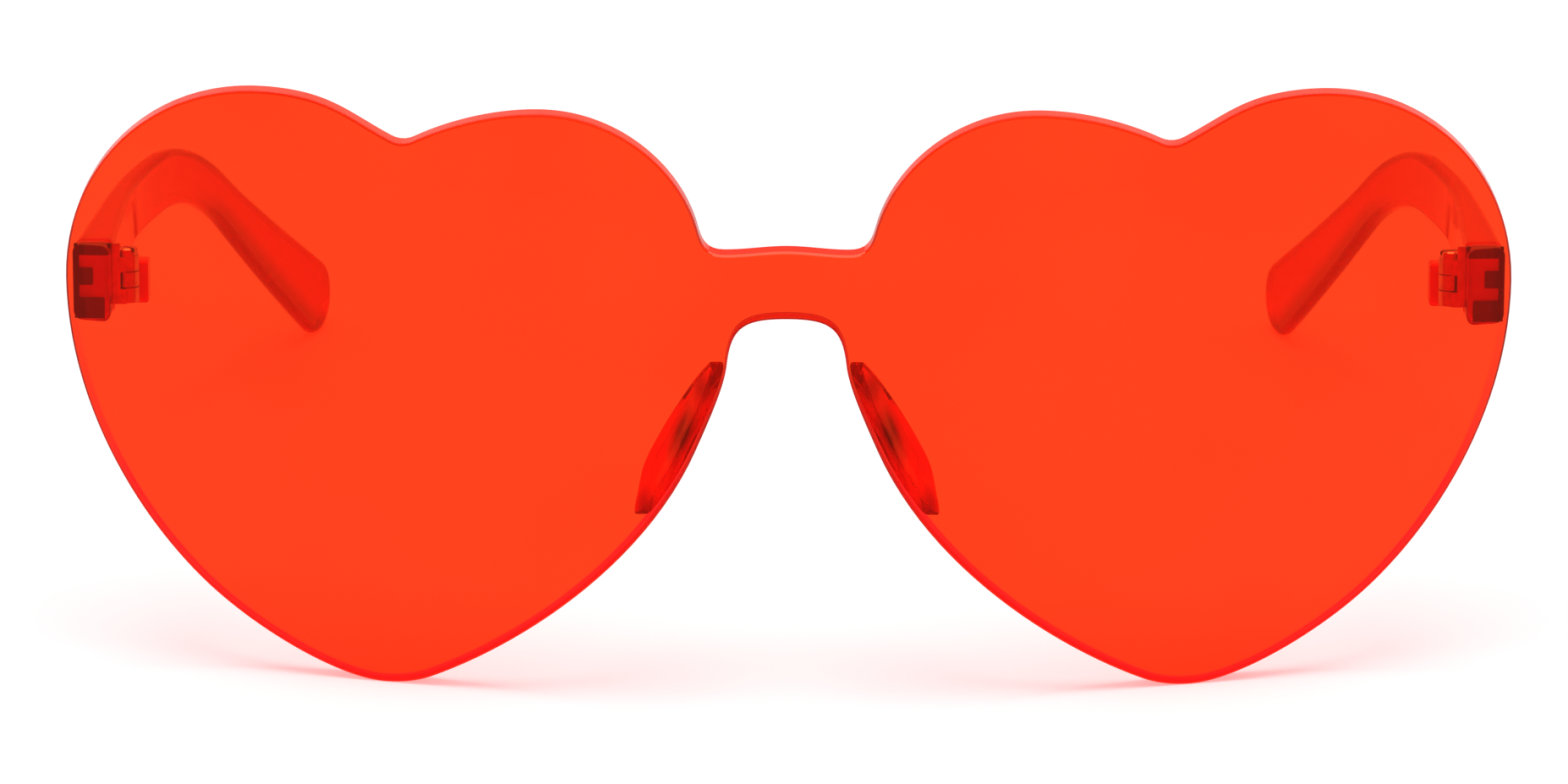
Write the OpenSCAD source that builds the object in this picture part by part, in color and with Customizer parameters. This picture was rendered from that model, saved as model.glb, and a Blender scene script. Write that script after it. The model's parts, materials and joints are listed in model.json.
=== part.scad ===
// Heart shaped sunglasses: one clear moulded shield with two hearts, bonded nose pads and
// end blocks, small metal hinges and two clear temples, standing open on a table.
// The front faces -Y, the temples run to +Y and Z is up.

/* [Front] */
// Overall width across both hearts
frame_w = 150; // [130:1:165]
// Height of a heart from its tip to its outer lobe
lens_h = 62.5; // [52:0.5:72]
// Thickness of the shield
lens_t = 2.6; // [1.8:0.1:3.4]
// Radius of the outer face that wraps the shield round the head
lens_radius = 177; // [150:1:260]

/* [Bridge] */
// Width of the bridge between the two inner lobes
bridge_w = 18; // [14:0.5:24]
// Height of the bridge at its middle
bridge_h = 7; // [5:0.5:9]
// Extra thickness of the bridge at its middle
bridge_extra = 0.6; // [0.2:0.1:2]
// Radius of the swelling that gives the bridge its extra thickness
swelling_radius = 92; // [60:1:140]
// Rise of the bridge's top edge at its middle
bridge_hump = 0.4; // [0.1:0.1:1]
// Radius where the bridge meets an inner lobe
lobe_fillet = 2.6; // [1.5:0.1:4]
// Width of the nose arch under the bridge
nose_w = 12.2; // [9:0.1:15]

/* [Nose pads] */
// Height of a nose pad where it sits on the shield
pad_h = 18.4; // [14:0.2:22]
// How far a nose pad stands out behind the shield
pad_depth = 6.5; // [4:0.5:9]
// Thickness of a nose pad
pad_t = 1.2; // [1:0.1:2.6]
// Angle at which a nose pad opens towards the face
pad_splay = 22; // [10:1:35]

/* [Hinges] */
// Height of an end block and of the temple's front end
block_h = 8; // [7.4:0.1:10]
// Width of an end block and of the temple's front end
block_w = 4; // [3.4:0.1:5]
// Depth of an end block at its outer side
block_depth = 2.2; // [1.8:0.1:4]
// Distance of an end block from the shield's outer edge
edge_inset = 1; // [0.6:0.1:2]
// Corner radius of the end blocks
block_round = 0.9; // [0.4:0.1:1.2]
// Outer radius of the hinge knuckles
knuckle_r = 1.2; // [1.1:0.05:1.5]
// Height of the three knuckles together
barrel_h = 4.9; // [4:0.1:6]
// Radius of the hinge screw's shank
screw_r = 0.7; // [0.5:0.05:0.8]
// Height of the hinge screw's head
head_h = 0.8; // [0.5:0.05:1]
// Thickness of the hinge leaves
leaf_t = 0.6; // [0.4:0.05:0.7]
// Width of a temple's hinge boss
boss_w = 3.4; // [2.6:0.1:4]
// Length of a temple's hinge boss
boss_l = 2.8; // [2.2:0.1:5]
// Height of a temple's hinge boss
boss_h = 4.5; // [4:0.1:5]
// How far the hinge boss lies below the hinge's middle
boss_drop = 0.7; // [0:0.1:0.8]

/* [Temples] */
// Straight length of a temple from the hinge to the ear bend
arm_l = 58; // [50:1:80]
// Radius of the ear bend
bend_r = 64; // [40:1:80]
// Angle of the ear bend
bend = 27; // [20:1:34]
// Length of the ear tail behind the bend
tail_l = 42.5; // [30:0.5:52]
// Height of a temple along its middle
arm_h = 6.7; // [5:0.1:8]
// Height of a temple where the ear tail begins
waist_h = 5.4; // [4:0.1:7]
// Height of the ear tail at its round end
tip_h = 9; // [7:0.1:11]
// Thickness of a temple along its middle
arm_t = 2; // [1.6:0.1:3]
// Thickness of the ear tail at its round end
tip_t = 1.6; // [1.4:0.1:3]
// How far the ear tails lean in towards the head
tip_lean = 16; // [8:1:20]

/* [Hidden] */
left = -1;
right = 1;

// Overrun of every cut past the face it opens
over = 1;
// Radial clearance of the screw in the knuckles
screw_clear = 0.04;
// Gap between neighbouring knuckles
knuckle_gap = 0.1;
// Room between a knuckle and what turns past it
turn_clear = 0.25;
// Gap between a temple's front end and its end block
butt_gap = 0.15;
// Set-back of a nose pad from the shield's edge
pad_inset = 0.1;
// Distance of the front leaf's anchor from the end block's sides
anchor_inset = 0.1;
// Width and depth of the slot in the screw's head
slot_w = 0.35;
slot_depth = 0.35;
// Facets of the shells and of the small round parts, steps of a curve and of a temple
shell_fn = 360;
round_fn = 48;
curve_steps = 12;
arm_steps = 6;
tip_steps = 16;

// The heart's outline, from the inner lobe round the outer side to the nose: place as
// shares of half the frame's width and of the lens height, heading in degrees, then the
// two handle lengths as shares of the lens height
heart_shares = [
    [0.330, 0.990, 0, 0.120, 0.080],
    [0.508, 0.937, -27, 0.060, 0.014],
    [0.540, 0.936, 25, 0.014, 0.080],
    [0.713, 1.000, 0, 0.105, 0.195],
    [1.000, 0.658, -90, 0.187, 0.205],
    [0.811, 0.154, -137, 0.165, 0.110],
    [0.560, 0.000, -180, 0.080, 0.030],
    [0.491, 0.017, -205, 0.028, 0.155],
    [0.124, 0.440, -247, 0.222, 0.055]];
// Levels of the bridge, the hinges, the pads and the wrap's centre over the table
bridge_level_share = 0.77;
hinge_level_share = 0.64;
pad_level_share = 0.447;
wrap_level_share = 0.507;
// Shapes of the bridge's and the arch's curves
swell_share = 0.12;
fillet_share = 0.62;
foot_share = 0.88;
foot_heading = 75;
foot_handle_share = 0.107;
nose_heading = -264;
nose_drop_share = 0.7;
nose_handle_share = 0.36;
nose_rise_share = 0.66;
arch_handle_share = 0.72;
// Part of the pad's height over which its face follows the outline, and the drop shape
// of its side: level of the deepest point under its middle, headings and handle lengths
pad_band_share = 0.75;
pad_low_share = 0.16;
pad_top_heading = -48;
pad_end_heading = -148;
pad_handle_shares = [0.24, 0.26, 0.12, 0.16];
// The front leaf's three arms, from its top down: reach as a share of the block's width,
// then lower and upper side as shares of the anchor's height
arm_shares = [[1.05, 0.85, 1], [0.52, 0.45, 0.68], [0.82, 0, 0.28]];
// Where a temple has thinned to its middle size, where its tail starts to lean in, and
// how sharply it does
thin_share = 0.69;
lean_share = 0.69;
lean_power = 1.45;

half_w = frame_w / 2;
back_radius = lens_radius - lens_t;
wrap_z = lens_h * wrap_level_share;
bridge_z = lens_h * bridge_level_share;
arch_z = bridge_z + bridge_hump - bridge_h;

// Depth of the shield's back face at a place
function back_y(x, z) =
    lens_radius - sqrt(pow(back_radius, 2) - pow(x, 2) - pow(z - wrap_z, 2));
reach = back_y(half_w, 0) + over;

// Cubic curve through four points
function cubic(p, t) =
    pow(1 - t, 3) * p[0] + 3 * pow(1 - t, 2) * t * p[1]
    + 3 * (1 - t) * pow(t, 2) * p[2] + pow(t, 3) * p[3];
function towards(a) = [cos(a), sin(a)];
// Points of a smooth path through knots of place, heading and handle lengths
function path(knots) = [
    for (i = [0 : len(knots) - 2])
    let (a = knots[i], b = knots[i + 1],
         start = [a[0], a[1]], end = [b[0], b[1]],
         p = [start, start + a[4] * towards(a[2]), end - b[3] * towards(b[2]), end])
    for (j = [0 : curve_steps - 1])
    cubic(p, j / curve_steps)];

bridge_handle = bridge_w * swell_share;
fillet_handle = lobe_fillet * fillet_share;
arch_handle = nose_w / 2 * arch_handle_share;
bridge_knots = [
    [0, bridge_z + bridge_hump, 0, 0, bridge_handle],
    [bridge_w / 2 - lobe_fillet, bridge_z, 0, bridge_handle, fillet_handle],
    [bridge_w / 2, bridge_z + lobe_fillet * foot_share, foot_heading,
     fillet_handle, lens_h * foot_handle_share]];
heart_knots = [
    for (s = heart_shares)
    [s[0] * half_w, s[1] * lens_h, s[2], s[3] * lens_h, s[4] * lens_h]];
arch_knots = [
    [nose_w / 2, arch_z - bridge_h * nose_drop_share, nose_heading,
     nose_w / 2 * nose_handle_share, nose_w / 2 * nose_rise_share],
    [0, arch_z, -180, arch_handle, 0]];
// Half the outline, from the top of the bridge round the right heart to the arch
half_outline = concat(path(concat(bridge_knots, heart_knots, arch_knots)), [[0, arch_z]]);
half_last = len(half_outline) - 1;
outline = concat(half_outline, [
    for (i = [1 : half_last - 1])
    [-half_outline[half_last - i][0], half_outline[half_last - i][1]]]);

// Hinge axis, where the end block's depth and the wrap put it
leaf_x = knuckle_r + turn_clear;
outer_x = leaf_x + block_w;
pivot_x = half_w - edge_inset - outer_x;
pivot_z = lens_h * hinge_level_share;
pivot_y = back_y(pivot_x + outer_x, pivot_z) + block_depth + butt_gap;

// Middle of the tail's round end, along and across the arm, and the slope that lays
// the tails on the table
tip_r = tip_h / 2;
tail_run = tail_l - tip_r;
tip_along = arm_l + bend_r * sin(bend) + tail_run * cos(bend);
tip_drop = bend_r * (1 - cos(bend)) + tail_run * sin(bend);
slope = acos((tip_r - pivot_z) / norm([tip_along, tip_drop])) - atan2(tip_along, -tip_drop);
depth = pivot_y + tip_along * cos(slope) - tip_drop * sin(slope) + tip_r;

// Heights of the knuckles
knuckle_h = (barrel_h - 2 * knuckle_gap) / 3;
fixed_z = barrel_h / 2 - knuckle_h;

// The glasses as they stand, moved so that the origin is under their middle
module standing() {
    translate([0, -depth / 2, 0])
        children();
}

// A right hand piece, or its mirror image on the left
module handed(side) {
    mirror([side == left ? 1 : 0, 0, 0])
        children();
}

// What is built round the hinge axis, tilted with the temple
module at_hinge(side) {
    standing()
        handed(side)
            translate([pivot_x, pivot_y, pivot_z])
                rotate([-slope, 0, 0])
                    children();
}

// A drawing in X and Z, carried along Y
module carried(from_y, to_y) {
    rotate([90, 0, 0])
        translate([0, 0, -to_y])
            linear_extrude(height = to_y - from_y)
                children();
}

// A box between two corners
module box(a, b) {
    translate(a)
        cube(b - a);
}

// A rectangle in X and Z between two corners, then the same with round corners
module plate(low, high) {
    translate(low)
        square(high - low);
}
module round_plate(low, high, r) {
    plate(low + [r, 0], high - [r, 0]);
    plate(low + [0, r], high - [0, r]);
    for (x = [low[0] + r, high[0] - r])
        for (z = [low[1] + r, high[1] - r])
            translate([x, z])
                circle(r = r, $fn = round_fn);
}

module wrap_ball(r) {
    translate([0, lens_radius, wrap_z])
        sphere(r = r, $fn = shell_fn);
}

module swelling_ball() {
    translate([0, lens_t + bridge_extra - swelling_radius, (bridge_z + arch_z) / 2])
        sphere(r = swelling_radius, $fn = shell_fn);
}

module front_shield() {
    color([1, 0.25, 0.12, 0.8])
        standing()
            intersection() {
                carried(-over, reach)
                    polygon(outline);
                wrap_ball(lens_radius);
                union() {
                    difference() {
                        wrap_ball(lens_radius + over);
                        wrap_ball(back_radius);
                    }
                    swelling_ball();
                }
            }
}

// A nose pad: a slab that follows the outline beside the nose, cut to a drop shape behind
pad_z = lens_h * pad_level_share;
pad_y = back_y(nose_w / 2, pad_z);
pad_handles = pad_h * pad_handle_shares;
pad_side = concat([[0, pad_z + pad_h / 2]], path([
    [pad_y, pad_z + pad_h / 2, pad_top_heading, 0, pad_handles[0]],
    [pad_y + pad_depth, pad_z - pad_h * pad_low_share, -90, pad_handles[1], pad_handles[2]],
    [pad_y, pad_z - pad_h / 2, pad_end_heading, pad_handles[3], 0]]), [
    [pad_y, pad_z - pad_h / 2], [0, pad_z - pad_h / 2]]);
pad_line = [
    for (p = half_outline)
    if (p[0] < half_w / 2 && abs(p[1] - pad_z) < pad_h * pad_band_share)
    [(p[0] + pad_inset - pad_y * tan(pad_splay)) * cos(pad_splay), p[1]]];
pad_last = len(pad_line) - 1;

module nose_pad(side) {
    color([0.9, 0.14, 0.1, 0.8])
        standing()
            handed(side)
                difference() {
                    intersection() {
                        wrap_ball(back_radius);
                        rotate([0, 0, -pad_splay])
                            carried(0, reach + pad_depth)
                                polygon(concat(pad_line, [
                                    for (i = [0 : pad_last])
                                    pad_line[pad_last - i] + [pad_t, 0]]));
                        rotate([90, 0, 90])
                            linear_extrude(height = half_w)
                                polygon(pad_side);
                    }
                    swelling_ball();
                }
}

// The front leaf's anchor: a bar with three arms that lies inside the end block
anchor_front = -knuckle_r - leaf_t + butt_gap;
anchor_back = anchor_front + leaf_t;
anchor_x = outer_x - anchor_inset;
anchor_h = block_h - 2 * anchor_inset;
module anchor() {
    carried(anchor_front, anchor_back) {
        plate([anchor_x - leaf_t, -anchor_h / 2], [anchor_x, anchor_h / 2]);
        for (a = arm_shares)
            round_plate([anchor_x - a[0] * block_w, (a[1] - 0.5) * anchor_h],
                        [anchor_x, (a[2] - 0.5) * anchor_h], leaf_t / 3);
    }
}

module end_block(side) {
    color([0.86, 0.12, 0.1, 0.8])
        difference() {
            intersection() {
                at_hinge(side)
                    carried(-reach, -butt_gap)
                        round_plate([leaf_x, -block_h / 2], [outer_x, block_h / 2], block_round);
                standing()
                    wrap_ball(back_radius);
            }
            at_hinge(side)
                anchor();
        }
}

module front_hinge_leaf(side) {
    color([0.62, 0.6, 0.58])
        at_hinge(side)
            difference() {
                union() {
                    anchor();
                    box([knuckle_r - leaf_t, anchor_front, -barrel_h / 2],
                        [leaf_x, anchor_back, anchor_h / 2]);
                    for (z = [-barrel_h / 2, fixed_z]) {
                        translate([0, 0, z])
                            cylinder(r = knuckle_r, h = knuckle_h, $fn = round_fn);
                        box([0, anchor_front, z], [leaf_x, -butt_gap, z + knuckle_h]);
                    }
                }
                translate([0, 0, -barrel_h / 2 - over])
                    cylinder(r = screw_r + screw_clear, h = barrel_h + 2 * over, $fn = round_fn);
                translate([0, 0, -fixed_z])
                    cylinder(r = knuckle_r + turn_clear, h = 2 * fixed_z, $fn = round_fn);
            }
}

module hinge_screw(side) {
    color([0.75, 0.73, 0.7])
        at_hinge(side)
            difference() {
                union() {
                    translate([0, 0, -barrel_h / 2])
                        cylinder(r = screw_r, h = barrel_h, $fn = round_fn);
                    translate([0, 0, barrel_h / 2])
                        cylinder(r = knuckle_r - knuckle_gap, h = head_h, $fn = round_fn);
                }
                box([-knuckle_r, -slot_w / 2, barrel_h / 2 + head_h - slot_depth],
                    [knuckle_r, slot_w / 2, barrel_h / 2 + head_h + over]);
            }
}

// The temple leaf's tongue and cross bar, which lie in the temple's boss
boss_front = leaf_x;
boss_back = boss_front + boss_l;
boss_low = -boss_drop - boss_h / 2;
boss_high = boss_low + boss_h;
module tongue() {
    box([-leaf_t / 2, 0, -knuckle_h / 2], [leaf_t / 2, boss_back - leaf_t, knuckle_h / 2]);
    box([-leaf_t / 2, boss_front + leaf_t, boss_low + leaf_t],
        [leaf_t / 2, boss_back - leaf_t, boss_high - leaf_t]);
}

module temple_hinge_leaf(side) {
    color([0.62, 0.6, 0.58])
        at_hinge(side)
            difference() {
                union() {
                    tongue();
                    translate([0, 0, -knuckle_h / 2])
                        cylinder(r = knuckle_r, h = knuckle_h, $fn = round_fn);
                }
                translate([0, 0, -barrel_h / 2])
                    cylinder(r = screw_r + screw_clear, h = barrel_h, $fn = round_fn);
            }
}

// A temple's middle line in the side view: heading, then along and height at a length
bend_l = bend_r * bend * PI / 180;
bend_end = arm_l + bend_l;
arm_end = bend_end + tail_run;
function bent(s) = min(max((s - arm_l) / bend_l, 0), 1) * bend;
function along(s) =
    min(s, arm_l) + bend_r * sin(bent(s)) + max(s - bend_end, 0) * cos(bend);
function height(s) = -bend_r * (1 - cos(bent(s))) - max(s - bend_end, 0) * sin(bend);
// A temple's size from top to bottom and from side to side at a length
thin_l = arm_l * thin_share;
function tall(s) = lookup(s, [
    [0, block_h], [thin_l, arm_h], [arm_l, arm_h], [bend_end, waist_h], [arm_end, tip_h]]);
function thick(s) = lookup(s, [
    [0, block_w], [thin_l, arm_t], [arm_l, arm_t], [arm_end, tip_t]]);
stations = concat(
    [0],
    [for (i = [0 : arm_steps - 1]) thin_l + (arm_l - thin_l) * i / arm_steps],
    [for (i = [0 : curve_steps - 1]) arm_l + bend_l * i / curve_steps],
    [for (i = [0 : arm_steps]) bend_end + tail_run * i / arm_steps]);
last = len(stations) - 1;
function edge(s, sign) =
    [along(s), height(s)] + sign * tall(s) / 2 * [sin(bent(s)), cos(bent(s))];
side_view = concat(
    [for (s = stations) edge(s, 1)],
    [for (i = [1 : tip_steps - 1])
     [tip_along, -tip_drop] + tip_r * towards(90 - bend - 180 * i / tip_steps)],
    [for (i = [0 : last]) edge(stations[last - i], -1)]);

// A temple seen from above: straight, then leaning in along a smooth curve
lean_from = arm_l * lean_share;
lean_l = tip_along + tip_r * cos(bend) - lean_from;
function lean(y) = tip_lean * pow(max(y - lean_from, 0) / lean_l, lean_power);
function outer_edge(s) = [outer_x - lean(along(s)), along(s)];
function inner_edge(s) = outer_edge(s) - [thick(s), 0];
end_s = arm_end + tip_h;
top_view = concat(
    [for (s = stations) outer_edge(s)],
    [outer_edge(end_s), inner_edge(end_s)],
    [for (i = [0 : last]) inner_edge(stations[last - i])]);

module temple(side) {
    color([0.95, 0.16, 0.1, 0.8])
        at_hinge(side)
            difference() {
                union() {
                    intersection() {
                        translate([-half_w, 0, 0])
                            rotate([90, 0, 90])
                                linear_extrude(height = frame_w)
                                    polygon(side_view);
                        translate([0, 0, -frame_w])
                            linear_extrude(height = 2 * frame_w)
                                polygon(top_view);
                    }
                    box([leaf_x - boss_w, boss_front, boss_low],
                        [outer_x - leaf_t, boss_back, boss_high]);
                }
                tongue();
            }
}

front_shield();
nose_pad(left);  // nose_pad_left
nose_pad(right);  // nose_pad_right
end_block(left);  // end_block_left
end_block(right);  // end_block_right
front_hinge_leaf(left);  // front_hinge_leaf_left
front_hinge_leaf(right);  // front_hinge_leaf_right
hinge_screw(left);  // hinge_screw_left
hinge_screw(right);  // hinge_screw_right
temple_hinge_leaf(left);  // temple_hinge_leaf_left
temple_hinge_leaf(right);  // temple_hinge_leaf_right
temple(left);  // temple_left
temple(right);  // temple_right
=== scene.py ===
import json
import math

import bpy
import numpy as np
from mathutils import Matrix, Vector
from mathutils.geometry import delaunay_2d_cdt


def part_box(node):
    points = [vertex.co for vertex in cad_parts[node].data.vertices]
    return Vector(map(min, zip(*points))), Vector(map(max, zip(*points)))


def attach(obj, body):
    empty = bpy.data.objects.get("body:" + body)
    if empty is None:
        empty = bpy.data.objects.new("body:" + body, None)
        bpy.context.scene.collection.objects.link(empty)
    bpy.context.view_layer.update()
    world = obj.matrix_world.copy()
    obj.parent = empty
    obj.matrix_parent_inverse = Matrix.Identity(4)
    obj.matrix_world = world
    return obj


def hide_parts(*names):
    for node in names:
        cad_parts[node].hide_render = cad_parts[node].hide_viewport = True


bl_info = {
    "name": "Heart Sunglasses",
    "version": (1, 0, 0),
    "blender": (4, 5, 0),
    "location": "View3D > Sidebar > Sunglasses",
    "description": "Builds a pair of heart shaped sunglasses around their packed model",
    "category": "Object",
}

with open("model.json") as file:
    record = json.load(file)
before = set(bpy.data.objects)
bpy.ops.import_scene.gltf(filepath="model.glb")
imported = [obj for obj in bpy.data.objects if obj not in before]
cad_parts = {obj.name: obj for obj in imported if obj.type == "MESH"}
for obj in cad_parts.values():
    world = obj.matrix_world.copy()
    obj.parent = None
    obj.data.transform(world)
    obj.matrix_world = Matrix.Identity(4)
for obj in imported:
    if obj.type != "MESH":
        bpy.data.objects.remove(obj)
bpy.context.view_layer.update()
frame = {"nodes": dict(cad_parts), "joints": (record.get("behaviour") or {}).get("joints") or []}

MM = 0.001
SIDES = {"left": -1, "right": 1}

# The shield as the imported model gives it
shield_low, shield_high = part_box("front_shield")
HALF_W = shield_high.x
LENS_H = shield_high.z
FRONT_Y = shield_low.y

# The hinge axis on the right, and its tilt
fold = next(j for j in frame["joints"] if j["name"] == "temple_right_fold")
PIVOT = Vector(fold["pos_m"])
SLOPE = math.atan2(fold["axis"][1], fold["axis"][2])

# The shield's sizes
SHIELD_T = 2.6 * MM
WRAP_R = 177 * MM
WRAP_Z = 0.507 * LENS_H
BACK_R = WRAP_R - SHIELD_T
BRIDGE_W = 18 * MM
BRIDGE_H = 7 * MM
BRIDGE_Z = 0.77 * LENS_H
BRIDGE_HUMP = 0.4 * MM
BRIDGE_EXTRA = 0.6 * MM
SWELL_R = 92 * MM
SWELL_SOFT = 0.06 * MM
LOBE_FILLET = 2.6 * MM
NOSE_W = 12.2 * MM
ARCH_Z = BRIDGE_Z + BRIDGE_HUMP - BRIDGE_H
# Place as shares of half the width and of the height, heading in degrees, handle lengths
# as shares of the height
HEART = (
    (0.330, 0.990, 0, 0.120, 0.080),
    (0.508, 0.937, -27, 0.060, 0.014),
    (0.540, 0.936, 25, 0.014, 0.080),
    (0.713, 1.000, 0, 0.105, 0.195),
    (1.000, 0.658, -90, 0.187, 0.205),
    (0.811, 0.154, -137, 0.165, 0.110),
    (0.560, 0.000, -180, 0.080, 0.030),
    (0.491, 0.017, -205, 0.028, 0.155),
    (0.124, 0.440, -247, 0.222, 0.055),
)
# The painted crimson band of shade along the lower edges, which stands in for the edge seen
# through the face: where it starts beside the middle, how far it's full and where it ends
BAND_FROM = 7 * MM
BAND_FULL = 0.9 * MM
BAND_END = 1.12 * MM
# The part of the rim that has the bridge's own colour, with its own painted highlight and shade
BRIDGE_RIM = 0.43 * BRIDGE_W
# The nose pads' sizes
PAD_H = 18.4 * MM
PAD_DEPTH = 6.5 * MM
PAD_T = 1.2 * MM
PAD_SPLAY = math.radians(22)
PAD_Z = 0.447 * LENS_H
PAD_INSET = 0.1 * MM
PAD_HOLLOW = 0.5 * MM
# Painted shade in the pads where they bend the light away: a dark stripe down the middle
# and deeper patches at the ends, each with its place, half sizes and colour
PAD_PAINTED_SHADE = (
    (10.4 * MM, PIVOT.z - 11.5 * MM, 0.9 * MM, 4.4 * MM, (0.03, 0.03, 0.05)),
    (8.3 * MM, PIVOT.z - 6.8 * MM, 1.3 * MM, 2.2 * MM, (0.36, 0.25, 1.0)),
    (14.4 * MM, PIVOT.z - 19.4 * MM, 1.2 * MM, 1.9 * MM, (0.42, 0.2, 1.6)),
)
PAD_SHADE_LEAN = math.radians(-25)
# The hinges' sizes, in the hinge's own frame: X across, Y along the temple, Z up
KNUCKLE_R = 1.2 * MM
LEAF_X = 1.45 * MM
BLOCK_W = 4 * MM
BLOCK_H = 8 * MM
BLOCK_CORNER = 0.9 * MM
OUTER_X = LEAF_X + BLOCK_W
BUTT_GAP = 0.15 * MM
BARREL_H = 4.9 * MM
SCREW_R = 0.7 * MM
HEAD_R = KNUCKLE_R - 0.1 * MM
HEAD_H = 0.8 * MM
SLOT_W = 0.35 * MM
BOSS_W = 3.4 * MM
BOSS_L = 2.8 * MM
BOSS_H = 4.5 * MM
BOSS_DROP = 0.7 * MM
BOSS_CORNER = 0.4 * MM
BOSS_EDGE = 0.3 * MM
# The temples' sizes
ARM_L = 58 * MM
BEND_R = 64 * MM
BEND = math.radians(27)
TAIL_L = 42.5 * MM
ARM_H = 6.7 * MM
WAIST_H = 5.4 * MM
TIP_H = 9 * MM
ARM_T = 2 * MM
TIP_T = 1.6 * MM
TIP_LEAN = 16 * MM
THIN_L = 0.69 * ARM_L
LEAN_FROM = 0.69 * ARM_L
LEAN_SOFT = 12 * MM
LEAN_POWER = 1.45
TIP_R = TIP_H / 2
TAIL_RUN = TAIL_L - TIP_R
BEND_L = BEND_R * BEND
BEND_END = ARM_L + BEND_L
ARM_END = BEND_END + TAIL_RUN
TIP_ALONG = ARM_L + BEND_R * math.sin(BEND) + TAIL_RUN * math.cos(BEND)
LEAN_RUN = TIP_ALONG + TIP_R * math.cos(BEND) - LEAN_FROM
# How much light gets through a face and through an edge to the table
FACE_SHADE = (0.98, 0.76, 0.77)
EDGE_SHADE = (0.8, 0.45, 0.46)
WHITE = (1, 1, 1)
# The hair's breadth that keeps one clear piece's skin off the next one's
FILM = 0.02 * MM
# The camera: how far off, how high and how far aside it stands, and where it looks
CAMERA_AWAY = 0.8
CAMERA_UP = math.radians(16.5)
CAMERA_ASIDE = math.radians(0.55)
CAMERA_TARGET = Vector((-0.26 * MM, FRONT_Y, 33.95 * MM))
CAMERA_LENS = 180.2


def towards(degrees):
    """The direction of a heading."""
    return np.array([math.cos(math.radians(degrees)), math.sin(math.radians(degrees))])


def path(knots, steps=24):
    """Points of a smooth path through knots of place, heading and handle lengths."""
    t = (np.arange(steps) / steps)[:, None]
    parts = []
    for a, b in zip(knots, knots[1:]):
        start, end = np.array(a[:2]), np.array(b[:2])
        leave = start + a[4] * towards(a[2])
        arrive = end - b[3] * towards(b[2])
        parts.append(
            (1 - t) ** 3 * start
            + 3 * (1 - t) ** 2 * t * leave
            + 3 * (1 - t) * t**2 * arrive
            + t**3 * end
        )
    parts.append(np.array([knots[-1][:2]]))
    return np.vstack(parts)


def soft_floor(value, width):
    """The value where it's above nought and nought below, with a soft change over."""
    return (value + np.sqrt(value**2 + width**2)) / 2


def even(points, spacing):
    """The same line with points at an even spacing."""
    run = np.r_[0, np.cumsum(np.hypot(*np.diff(points, axis=0).T))]
    at = np.linspace(0, run[-1], max(2, round(run[-1] / spacing)) + 1)
    return np.stack([np.interp(at, run, points[:, 0]), np.interp(at, run, points[:, 1])], 1)


def even_loop(points, spacing):
    """The same closed line with points at an even spacing."""
    return even(np.vstack([points, points[:1]]), spacing)[:-1]


def eased(loop, turns):
    """A closed line with its corners rounded, more so with more turns."""
    for _ in range(turns):
        loop = (np.roll(loop, 1, 0) + 2 * loop + np.roll(loop, -1, 0)) / 4
    return loop


def right_outline(spacing):
    """The right half of the shield's outline, from the top of the bridge to the arch. Each
    knot has its place, its heading and the lengths of its two handles."""
    swell, fillet = 0.12 * BRIDGE_W, 0.62 * LOBE_FILLET
    knots = [
        (0, BRIDGE_Z + BRIDGE_HUMP, 0, 0, swell),
        (BRIDGE_W / 2 - LOBE_FILLET, BRIDGE_Z, 0, swell, fillet),
        (BRIDGE_W / 2, BRIDGE_Z + 0.88 * LOBE_FILLET, 75, fillet, 0.107 * LENS_H),
    ]
    knots += [(s[0] * HALF_W, s[1] * LENS_H, s[2], s[3] * LENS_H, s[4] * LENS_H) for s in HEART]
    knots += [
        (NOSE_W / 2, ARCH_Z - 0.7 * BRIDGE_H, -264, 0.18 * NOSE_W, 0.33 * NOSE_W),
        (0, ARCH_Z, -180, 0.36 * NOSE_W, 0),
    ]
    return even(path(knots), spacing)


def shield_front(x, z):
    """Depth of the shield's outer face behind its foremost point."""
    return WRAP_R - np.sqrt(WRAP_R**2 - x**2 - (z - WRAP_Z) ** 2)


def shield_back(x, z):
    """Depth of the shield's inner face, with the swelling behind the bridge."""
    wrap = WRAP_R - np.sqrt(BACK_R**2 - x**2 - (z - WRAP_Z) ** 2)
    middle = (BRIDGE_Z + ARCH_Z) / 2
    room = np.maximum(SWELL_R**2 - x**2 - (z - middle) ** 2, 0)
    swell = SHIELD_T + BRIDGE_EXTRA - SWELL_R + np.sqrt(room)
    return wrap + soft_floor(swell - wrap, SWELL_SOFT)


def flat(height):
    """The level of a flat face."""
    return lambda u, v: np.full(np.shape(u), height)


def inside(points, loop):
    """True for the points inside a closed line."""
    x, y = points[:, 0:1], points[:, 1:2]
    x0, y0 = loop[:, 0], loop[:, 1]
    x1, y1 = np.roll(x0, -1), np.roll(y0, -1)
    rise = np.where(y1 == y0, 1e-12, y1 - y0)
    crosses = ((y0 > y) != (y1 > y)) & (x < (x1 - x0) * (y - y0) / rise + x0)
    return crosses.sum(1) % 2 == 1


def clear_of(points, loop, room):
    """True for the points that lie further than room from a line's points."""
    gap = np.hypot(points[:, 0:1] - loop[:, 0], points[:, 1:2] - loop[:, 1])
    return gap.min(1) > room


def outward(loop):
    """Outward directions along a counter-clockwise closed line."""
    along = np.roll(loop, -1, 0) - np.roll(loop, 1, 0)
    along /= np.linalg.norm(along, axis=1)[:, None]
    return np.stack([along[:, 1], -along[:, 0]], 1)


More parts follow.
